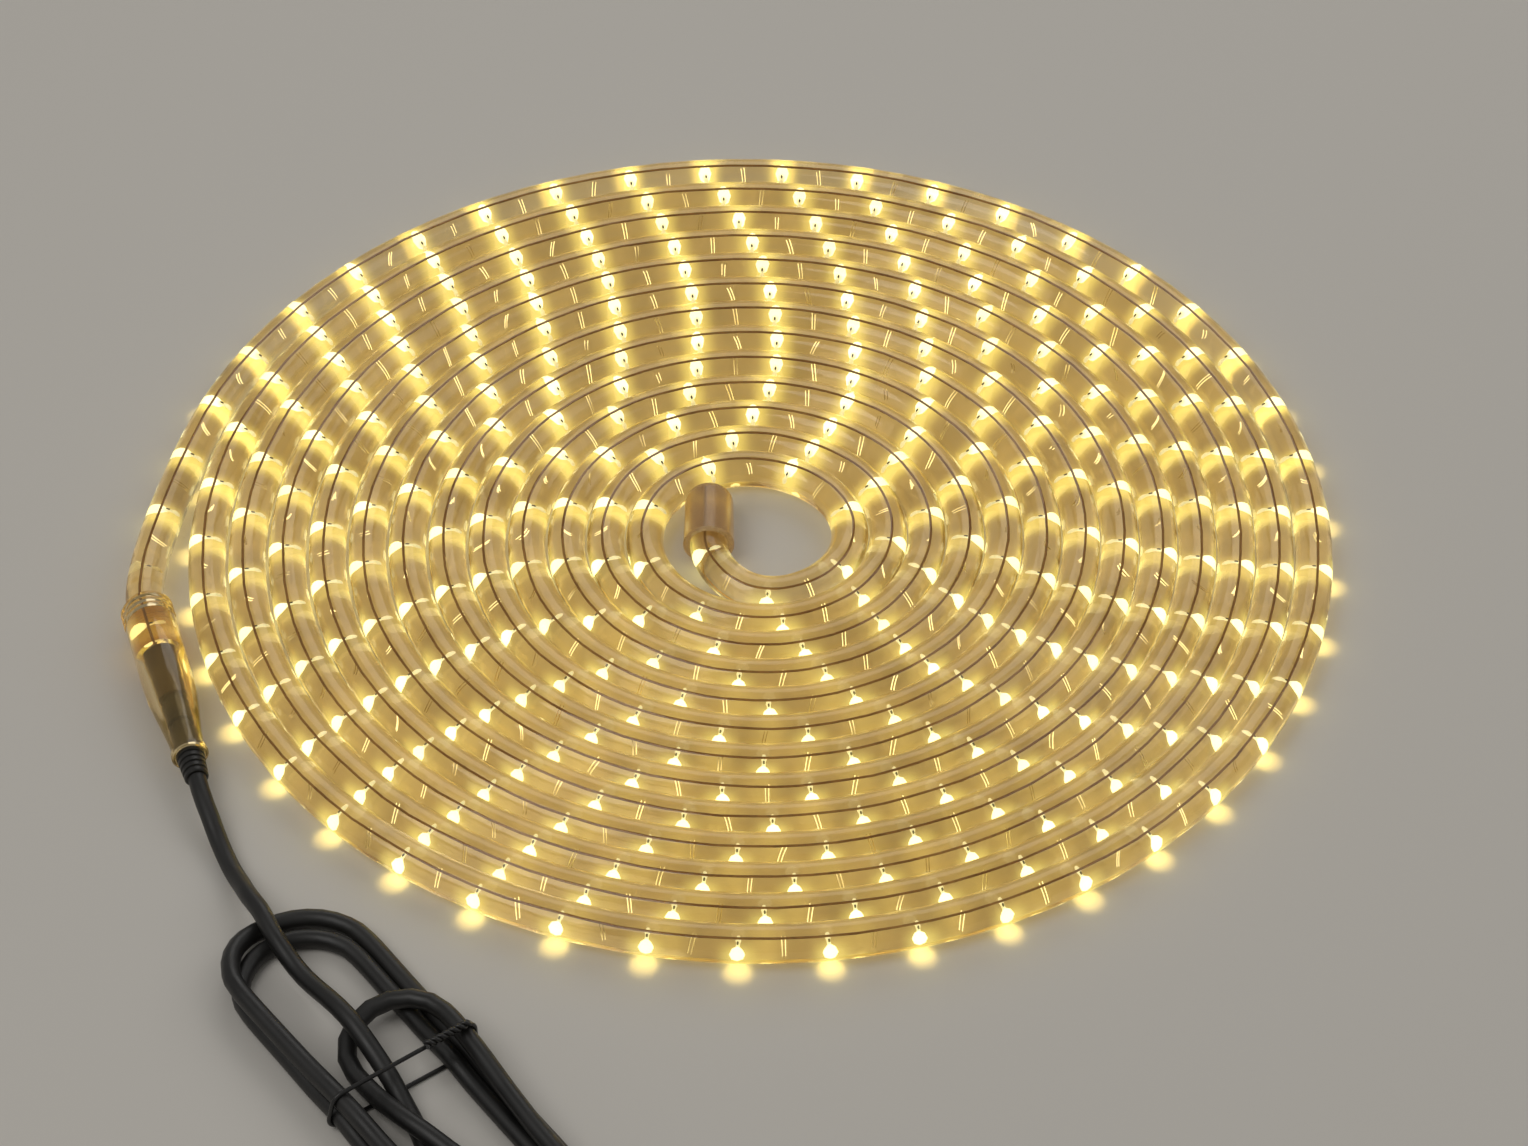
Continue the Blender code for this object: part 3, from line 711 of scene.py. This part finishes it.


# painted glow colours: a dim and a brighter one between the lamps, and the painted pool in front of a lamp
rope_pvc = clear_pvc_material(
    "clear_extruded_pvc", "#ECDCB4", ("#2A1E08", "#64522A", "#FFF078"), 0.50, 0.06
)
rope_line = path_object("rope_line", rope_path)
tube = tube_tree("bar_along_rope")
rope = grow(
    "rope_tube", rope_line, tube,
    {"Radius": ROPE_RADIUS, "Sides": 28, "Outwards": 0.0, "Upwards": 0.0, "Wobble": 0.0,
    "Slope": -math.radians(PAINTED_GLOW_DIP), "Material": rope_pvc},
)
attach(rope, "root")
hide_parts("rope")


# Bus wire. A stranded copper wire runs the whole length of the rope, moulded in above its middle, and shows
# as one thin dark line in each turn.

BUS_RADIUS = 0.00033
BUS_OUTWARDS, BUS_RISE, BUS_WOBBLE = 0.0009, 0.0029, 0.00018


def wire_material(name, color, roughness, metallic, painted_gleam=0.0):
    """Drawn metal or bare crystal with a fine uneven tone, and lamp light painted on stretches of it as a
    glint.
    """
    material, tree = new_material(name)
    place = add_node(tree, "ShaderNodeTexCoord").outputs["Object"]
    # lay of the strands and marks of drawing, about 1.5 mm
    strands = add_node(tree, "ShaderNodeTexNoise", {"Vector": place, "Scale": 650.0, "Detail": 2.0})
    paint = add_node(
        tree, "ShaderNodeMix",
        {"Factor": strands, "A": linear(color[0]), "B": linear(color[1])}, data_type="RGBA",
    )
    # painted glint: lit and unlit stretches of painted lamp light, about 20 mm long
    stretch = add_node(tree, "ShaderNodeTexNoise", {"Vector": place, "Scale": 50.0, "Detail": 0.0})
    painted_glint = add_node(
        tree, "ShaderNodeMapRange",
        {"Value": stretch, "From Min": 0.36, "From Max": 0.50, "To Min": 0.0, "To Max": painted_gleam},
    )
    shader = add_node(
        tree, "ShaderNodeBsdfPrincipled",
        {"Base Color": paint.outputs["Result"], "Roughness": roughness, "Metallic": metallic,
        "Emission Color": linear("#FFF0B4"), "Emission Strength": painted_glint},
    )
    add_node(tree, "ShaderNodeOutputMaterial", {0: shader})
    return material


bus_copper = wire_material("stranded_copper", ("#5C3A1A", "#9C6E3A"), 0.5, 0.3)
bus_wire = grow(
    "bus_wire", rope_line, tube,
    {"Radius": BUS_RADIUS, "Sides": 8, "Outwards": BUS_OUTWARDS, "Upwards": BUS_RISE, "Wobble": BUS_WOBBLE,
    "Slope": 0.0, "Material": bus_copper},
)
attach(bus_wire, "root")


# Lamps. One small LED every 27.8 mm, set level across the rope, a little below its middle, with its wide
# dome outwards. Each is a bottle of clear epoxy that glows all through, with a dark crystal on its neck.

LAMP_PROFILE = (
    (-0.0023, 0.0), (-0.0021, 0.0006), (-0.0014, 0.0009), (-0.0007, 0.0006), (0.0004, 0.0006),
    (0.0011, 0.0011), (0.0017, 0.0016), (0.0025, 0.0018), (0.0034, 0.0013), (0.0040, 0.0),
)
LAMP_SIDES = 8
DOME_START, DOME_STRETCH = 0.0010, 1.35
NECK_GLOW, THROAT_GLOW = 0.32, 0.5
CRYSTAL_PLACE = (-0.0001, 0.0, 0.0009)
CRYSTAL_RADIUS = 0.00042


def lit_material(name, color, strength):
    """Lit epoxy: a warm white glow that is strongest in the dome."""
    material, tree = new_material(name)
    part = add_node(tree, "ShaderNodeAttribute", attribute_name="glow").outputs["Fac"]
    lamp = add_node(tree, "ShaderNodeAttribute", attribute_name="lit").outputs["Fac"]
    share = add_node(tree, "ShaderNodeMath", {0: part, 1: lamp}, operation="MULTIPLY")
    light = add_node(tree, "ShaderNodeMath", {0: share, 1: strength}, operation="MULTIPLY")
    shader = add_node(
        tree, "ShaderNodeBsdfPrincipled",
        {"Base Color": linear("#FFF3C8"), "Roughness": 0.2, "Emission Color": linear(color),
        "Emission Strength": light},
    )
    add_node(tree, "ShaderNodeOutputMaterial", {0: shader})
    return material


def along_tree(name):
    """Copies of one small part along the rope, each turned to the rope's own direction there."""
    sizes = ("First", "Pitch", "Count", "Splay", "Seed")
    tree, given = new_tree(name, sizes, ("Material",), ("Part",))
    points = add_node(tree, "GeometryNodePoints", {"Count": given["Count"]})
    index = add_node(tree, "GeometryNodeInputIndex")
    reach = add_node(
        tree, "ShaderNodeMath", {0: index, 1: given["Pitch"], 2: given["First"]},
        operation="MULTIPLY_ADD",
    )
    corrected = add_node(tree, "ShaderNodeMath", {0: reach, 1: lamp_shift(tree, index)})
    upright = add_node(tree, "GeometryNodeSetCurveNormal", {"Curve": given["Geometry"]}, mode="Z_UP")
    sample = add_node(
        tree, "GeometryNodeSampleCurve", {"Curves": upright, "Length": corrected},
        mode="LENGTH", use_all_curves=False,
    )
    placed = add_node(
        tree, "GeometryNodeSetPosition", {"Geometry": points, "Position": sample.outputs["Position"]}
    )
    unlit = add_node(
        tree, "ShaderNodeMath", {0: index, 1: float(UNLIT_LAMP), 2: 0.5}, operation="COMPARE"
    )
    power = add_node(tree, "FunctionNodeRandomValue", {2: 0.75, 3: 1.0, "Seed": 7}, data_type="FLOAT")
    lit = add_node(
        tree, "ShaderNodeMath", {0: unlit, 1: -0.8, 2: power.outputs[1]}, operation="MULTIPLY_ADD"
    )
    marked = add_node(
        tree, "GeometryNodeStoreNamedAttribute",
        {"Geometry": placed, "Name": "lit", "Value": lit}, data_type="FLOAT", domain="POINT",
    )
    outwards = add_node(
        tree, "ShaderNodeVectorMath", {0: sample.outputs["Normal"], "Scale": -1.0}, operation="SCALE"
    )
    axes = add_node(
        tree, "FunctionNodeAxesToRotation",
        {"Primary Axis": UP, "Secondary Axis": outwards},
        primary_axis="Z", secondary_axis="X",
    )
    spread = add_node(tree, "ShaderNodeMath", {0: given["Splay"], 1: -1.0}, operation="MULTIPLY")
    jitter = add_node(
        tree, "FunctionNodeRandomValue", {0: spread, 1: given["Splay"], "Seed": given["Seed"]},
        data_type="FLOAT_VECTOR",
    )
    tilt = add_node(tree, "FunctionNodeEulerToRotation", {0: jitter})
    turned = add_node(
        tree, "FunctionNodeRotateRotation", {"Rotation": axes, "Rotate By": tilt}, rotation_space="LOCAL"
    )
    part = add_node(tree, "GeometryNodeObjectInfo", {"Object": given["Part"]}, transform_space="ORIGINAL")
    copies = add_node(
        tree, "GeometryNodeInstanceOnPoints",
        {"Points": marked, "Instance": part.outputs["Geometry"], "Rotation": turned},
    )
    solid = add_node(tree, "GeometryNodeRealizeInstances", {"Geometry": copies})
    painted = add_node(
        tree, "GeometryNodeSetMaterial", {"Geometry": solid, "Material": given["Material"]}
    )
    add_node(tree, "NodeGroupOutput", {"Geometry": painted})
    return tree


lit_epoxy = lit_material("lit_warm_epoxy", "#F8FFD8", 1.9)
dark_crystal = wire_material("dark_crystal", ("#1A160A", "#2E2812"), 0.4, 0.0)
along_rope = along_tree("parts_along_rope")
bottle = new_object("lamp_bottle", turned_mesh("lamp_bottle", LAMP_PROFILE, LAMP_SIDES))
glow = bottle.data.attributes.new("glow", "FLOAT", "POINT")
for vertex, value in zip(bottle.data.vertices, glow.data):
    value.value = NECK_GLOW if vertex.co.x < 0.0 else THROAT_GLOW if vertex.co.x < DOME_START else 1.0
    if vertex.co.x > DOME_START:
        vertex.co.y *= DOME_STRETCH
bead_profile = [(CRYSTAL_RADIUS * -math.cos(a), CRYSTAL_RADIUS * math.sin(a)) for a in (0.0, 0.9, 2.2)]
bead = new_object("crystal_bead", turned_mesh("crystal_bead", bead_profile + [(CRYSTAL_RADIUS, 0.0)], 6))
bead.data.transform(Matrix.Translation(CRYSTAL_PLACE))
for name, part, material in (("lamps", bottle, lit_epoxy), ("lamp_crystals", bead, dark_crystal)):
    part.data.transform(Matrix.Rotation(math.radians(LAMP_DIP), 4, "Y"))
    part.data.transform(Matrix.Translation(-LAMP_DROP * UP))
    lamps = grow(
        name, rope_line, along_rope,
        {"First": FIRST_LAMP, "Pitch": LAMP_PITCH, "Count": LAMP_COUNT, "Splay": 0.12, "Seed": 4,
        "Material": material, "Part": part},
    )
    bpy.data.objects.remove(part)
    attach(lamps, "root")


# Lead joints. Half way between two lamps their tinned leads run side by side from the top of the rope to
# its bottom, as a narrow hairpin of two thin wires.

JOINT_WIRE = 0.00016
JOINT_HALF_GAP = 0.0006
JOINT_TOP, JOINT_BOTTOM = Vector((0.0002, 0.0, 0.0024)), Vector((0.0006, 0.0, -0.0026))


def add_rod(bm, start, end, radius, sides):
    """A thin round rod between two points."""
    way = (end - start).normalized()
    side = way.cross(Vector((0.3, 1.0, 0.0))).normalized()
    up = side.cross(way)
    rings = []
    angles = [2 * math.pi * k / sides for k in range(sides)]
    for centre in (start, end):
        ring = [centre + radius * (math.cos(a) * side + math.sin(a) * up) for a in angles]
        rings.append([bm.verts.new(point) for point in ring])
    for k in range(sides):
        other = (k + 1) % sides
        bm.faces.new((rings[0][k], rings[0][other], rings[1][other], rings[1][k]))
    bm.faces.new(reversed(rings[0]))
    bm.faces.new(rings[1])


bm = bmesh.new()
for across, spread in ((-JOINT_HALF_GAP, 0.6), (JOINT_HALF_GAP, 1.3)):
    aside = Vector((0.0, across, 0.0))
    add_rod(bm, JOINT_TOP + spread * aside, JOINT_BOTTOM + 0.8 * aside, JOINT_WIRE, 6)
hairpin = new_object("lead_hairpin", finished_mesh("lead_hairpin", bm))
# the tinned leads get the painted glint of lamp light on some stretches
tinned_lead = wire_material("tinned_copper", ("#C9B98C", "#F4E8C0"), 0.25, 1.0, 1.5)
joints = grow(
    "lead_joints", rope_line, along_rope,
    {"First": FIRST_LAMP + LAMP_PITCH / 2, "Pitch": LAMP_PITCH, "Count": LAMP_COUNT - 1, "Splay": 0.36,
    "Seed": 11, "Material": tinned_lead, "Part": hairpin},
)
bpy.data.objects.remove(hairpin)
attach(joints, "root")
bpy.data.objects.remove(rope_line)


# End cap. A moulded cup of milky PVC, pushed and glued over the inner end of the rope, closed and rounded
# at its far end. The rope and its bus wire show through it.

CAP_LENGTH = 0.0258
CAP_RADIUS = (cap_high.x - cap_low.x) / 2
CAP_BORE = 0.0065
CAP_EDGE, CAP_EDGE_STEPS = 0.0055, 8
CAP_TAPER = 0.0004


def rounded_end(distance, radius, size):
    """Outline points of a rounded edge that ends at this distance and starts at this radius."""
    points = []
    for step in range(CAP_EDGE_STEPS + 1):
        angle = math.pi / 2 * step / CAP_EDGE_STEPS
        points.append((distance - size * (1 - math.sin(angle)), radius - size * (1 - math.cos(angle))))
    return points


def milky_pvc_material(name, color, glow, strength):
    """Milky moulded PVC: light goes through it but blurs; its emission is a faint painted glow of lamp light.
    """
    material, tree = new_material(name)
    place = add_node(tree, "ShaderNodeTexCoord").outputs["Object"]
    # cloudiness of about 6 mm
    cloud = add_node(tree, "ShaderNodeTexNoise", {"Vector": place, "Scale": 160.0, "Detail": 3.0})
    paint = add_node(
        tree, "ShaderNodeMix",
        {"Factor": cloud, "A": linear(color[0]), "B": linear(color[1])}, data_type="RGBA",
    )
    bump = add_node(tree, "ShaderNodeBump", {"Height": cloud, "Strength": 0.12, "Distance": 0.0003})
    shader = add_node(
        tree, "ShaderNodeBsdfPrincipled",
        {"Base Color": paint.outputs["Result"], "Roughness": 0.26, "IOR": 1.53, "Transmission Weight": 0.9,
        "Normal": bump, "Emission Color": linear(glow), "Emission Strength": strength},
    )
    add_node(tree, "ShaderNodeOutputMaterial", {0: shader})
    return material


# the brown third colour is the cap's faint painted glow
milky_pvc = milky_pvc_material("milky_moulded_pvc", ("#D8C29A", "#E6D4B0"), "#80623C", 0.15)
cap_profile = [(CAP_DEPTH, 0.0), (CAP_DEPTH, CAP_BORE), (0.0004, CAP_BORE), (0.0, CAP_BORE + 0.0004)]
cap_profile += [(0.0, CAP_RADIUS - 0.0006), (0.0006, CAP_RADIUS)]
cap_profile += rounded_end(CAP_LENGTH, CAP_RADIUS - CAP_TAPER, CAP_EDGE)
cap_profile += [(CAP_LENGTH, 0.0)]
cap_mesh = turned_mesh("end_cap_moulding", cap_profile, 64, CAP_MOUTH, CAP_WAY)
cap = new_object("end_cap_moulding", cap_mesh, milky_pvc)
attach(cap, "root")
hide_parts("end_cap")


# Connector sleeve. A clear PVC tube that grips the rope's outer end, with three small ridges round its
# mouth, and narrows over the connector to a rolled lip.

SLEEVE_LENGTH = 0.0713
SLEEVE_RADIUS = 0.00866
SLEEVE_BORE = 0.0065
SLEEVE_TAPER = 0.035
RIDGE_HEIGHT, RIDGE_PLACES = 0.0008, (0.0012, 0.0036, 0.0060)
SLEEVE_END_RADIUS = 0.0060
CONNECTOR_BORE = 0.0049

# painted glow colours for the sleeve, fainter than the rope's painted glow
sleeve_pvc = clear_pvc_material(
    "clear_moulded_pvc", "#EBD8AE", ("#3A2E10", "#5A4A1E", "#6A5A2C"), 0.26, 0.07
)
mouth_radius = SLEEVE_RADIUS - RIDGE_HEIGHT
sleeve_profile = [(0.0, SLEEVE_BORE), (0.0, mouth_radius - 0.0004), (0.0006, mouth_radius)]
for place in RIDGE_PLACES:
    sleeve_profile += [(place, mouth_radius), (place + 0.0006, SLEEVE_RADIUS)]
    sleeve_profile += [(place + 0.0011, SLEEVE_RADIUS), (place + 0.0017, mouth_radius)]
narrow = SLEEVE_LENGTH - SLEEVE_TAPER
sleeve_profile += [(0.0090, SLEEVE_RADIUS - 0.0002), (narrow, SLEEVE_RADIUS - 0.0002)]
for share in (0.25, 0.5, 0.75, 0.92):
    radius = SLEEVE_RADIUS - 0.0002 + eased(share) * (SLEEVE_END_RADIUS - 0.0006 - SLEEVE_RADIUS)
    sleeve_profile += [(narrow + share * SLEEVE_TAPER, radius)]
sleeve_profile += [(SLEEVE_LENGTH - 0.0020, SLEEVE_END_RADIUS), (SLEEVE_LENGTH - 0.0005, SLEEVE_END_RADIUS)]
sleeve_profile += [(SLEEVE_LENGTH, SLEEVE_END_RADIUS - 0.0005), (SLEEVE_LENGTH, CONNECTOR_BORE)]
sleeve_profile += [(SLEEVE_GRIP + 0.006, CONNECTOR_BORE), (SLEEVE_GRIP + 0.0003, SLEEVE_BORE)]
sleeve_mesh = turned_mesh("connector_sleeve_tube", sleeve_profile, 64, SLEEVE_MOUTH, SLEEVE_WAY)
sleeve = new_object("connector_sleeve_tube", sleeve_mesh, sleeve_pvc)
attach(sleeve, "root")
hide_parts("connector_sleeve")


# Cord connector. A PVC moulding, smoked brown in front and black behind, that closes the rope inside the
# sleeve. It has two ring grooves and ends as the lead's ribbed strain relief.

CONNECTOR_RADIUS = 0.0046
RELIEF_LENGTH = 0.010
BROWN_FRONT = 0.0226
GROOVE_DEPTH, GROOVE_PLACES = 0.0009, (BROWN_FRONT, 0.0339)
front = SLEEVE_GRIP + 0.0003
reach = SLEEVE_LENGTH + RELIEF_LENGTH - front
smoked_brown = sheath_material("smoked_brown_pvc", "#2C2012", 0.3, "#4A3820")
connector_profile = [(0.0, 0.0), (0.0, CONNECTOR_RADIUS - 0.0005), (0.0005, CONNECTOR_RADIUS)]
groove_radius = CONNECTOR_RADIUS - GROOVE_DEPTH
for place in GROOVE_PLACES:
    connector_profile += [(place - 0.0003, CONNECTOR_RADIUS), (place, groove_radius)]
    connector_profile += [(place + 0.003, groove_radius), (place + 0.0033, CONNECTOR_RADIUS)]
relief_start = reach - RELIEF_LENGTH
connector_profile += [(relief_start, CONNECTOR_RADIUS)]
for rib in range(4):
    at = relief_start + 0.0009 + rib * 0.0022
    radius = CONNECTOR_RADIUS - 0.0007 * (rib + 0.6) / 4.6
    connector_profile += [(at, radius), (at + 0.0002, radius - 0.0005), (at + 0.0009, radius - 0.0005)]
    connector_profile += [(at + 0.0011, radius - 0.00008)]
connector_profile += [(reach - 0.0004, 0.0039), (reach, 0.0035), (reach, 0.0)]
front_centre = SLEEVE_MOUTH + front * SLEEVE_WAY
connector_mesh = turned_mesh("lead_connector", connector_profile, 48, front_centre, SLEEVE_WAY)
connector = new_object("lead_connector", connector_mesh, moulded_black, smoked_brown)
for face in connector.data.polygons:
    face.material_index = int((face.center - SLEEVE_MOUTH).dot(SLEEVE_WAY) - front < BROWN_FRONT)
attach(connector, "root")
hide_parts("cord_connector")


# Plug pins. The two round pins are the model's own solids, in plated brass.

plug_metal = wire_material("nickel_plated_brass", ("#B9B4A8", "#DAD6CC"), 0.22, 1.0)
for name in ("plug_pin_1", "plug_pin_2"):
    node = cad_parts[name]
    node.data.materials.clear()
    node.data.materials.append(plug_metal)


# Floor, light and glow. A plain pale floor, soft light from above and both sides, and the bloom that the
# lit lamps give a lens.

FLOOR_HALF = 4.0
OUTER_TURN_RADIUS = 0.194
FIRST_BEAM = 4
BEAM_INSET, BEAM_DROP, BEAM_LEAN = 0.0015, 0.0018, 0.22
floor_mesh = bpy.data.meshes.new("floor")
floor_corners = [(x * FLOOR_HALF, y * FLOOR_HALF, 0.0) for x, y in ((-1, -1), (1, -1), (1, 1), (-1, 1))]
floor_mesh.from_pydata(floor_corners, [], [(0, 1, 2, 3)])
paper, tree = new_material("matt_pale_floor")
shader = add_node(tree, "ShaderNodeBsdfPrincipled", {"Base Color": linear("#D9D5CE"), "Roughness": 0.55})
add_node(tree, "ShaderNodeOutputMaterial", {0: shader})
floor = new_object("floor", floor_mesh, paper)


def add_light(name, kind, place, aim, **settings):
    """A light at this place that shines along aim."""
    light = bpy.data.lights.new(name, kind)
    for setting, value in settings.items():
        setattr(light, setting, value)
    lamp = bpy.data.objects.new(name, light)
    bpy.context.scene.collection.objects.link(lamp)
    lamp.location = place
    lamp.rotation_euler = aim.to_track_quat("-Z", "Y").to_euler()
    return lamp


def rope_place(reach):
    """The place on the rope's path this far from its outer end, with the way out of the coil there."""
    for before, after in zip(rope_path, rope_path[1:]):
        step = (after - before).length
        if reach <= step:
            way = (after - before) / step
            return before + reach * way, Vector((-way.y, way.x, 0.0)).normalized()
        reach -= step


# the lamps of the outer turn also light the floor beside them
for number in range(FIRST_BEAM, FIRST_BEAM + round(2 * math.pi * OUTER_TURN_RADIUS / LAMP_PITCH)):
    middle, outwards = rope_place(lamp_reach(number))
    place = middle + (ROPE_RADIUS - BEAM_INSET) * outwards - BEAM_DROP * UP
    beam = add_light(
        f"lamp_beam_{number}", "SPOT", place, BEAM_LEAN * outwards - UP,
        energy=0.0022, color=(1.0, 0.86, 0.36), shadow_soft_size=0.0008, spot_size=math.radians(100.0),
        spot_blend=0.4,
    )
    beam.visible_camera = False
    beam.visible_glossy = False
    beam.visible_transmission = False

for name, place, size, power in (
    ("key_light", (-1.1, -0.7, 1.9), 1.4, 11.0), ("fill_light", (1.6, 0.4, 1.5), 1.6, 5.5),
    ("back_light", (0.1, 1.8, 1.4), 1.2, 4.8),
):
    aim = COIL_POLE - Vector(place)
    add_light(name, "AREA", place, aim, size=size, energy=power, color=(1.0, 0.985, 0.96))

world = bpy.data.worlds.new("studio")
bpy.context.scene.world = world
world.use_nodes = True
backdrop = world.node_tree.nodes["Background"].inputs
backdrop["Color"].default_value = linear("#E9E7E3")
backdrop["Strength"].default_value = 0.28
bpy.context.scene.view_settings.view_transform = "Standard"

bpy.context.scene.use_nodes = True
picture = bpy.context.scene.node_tree
picture.nodes.clear()
layers = add_node(picture, "CompositorNodeRLayers")
glare = add_node(
    picture, "CompositorNodeGlare",
    {"Image": layers, "Threshold": 1.2, "Strength": 0.25, "Size": 0.35}, glare_type="BLOOM",
)
add_node(picture, "CompositorNodeComposite", {"Image": glare})
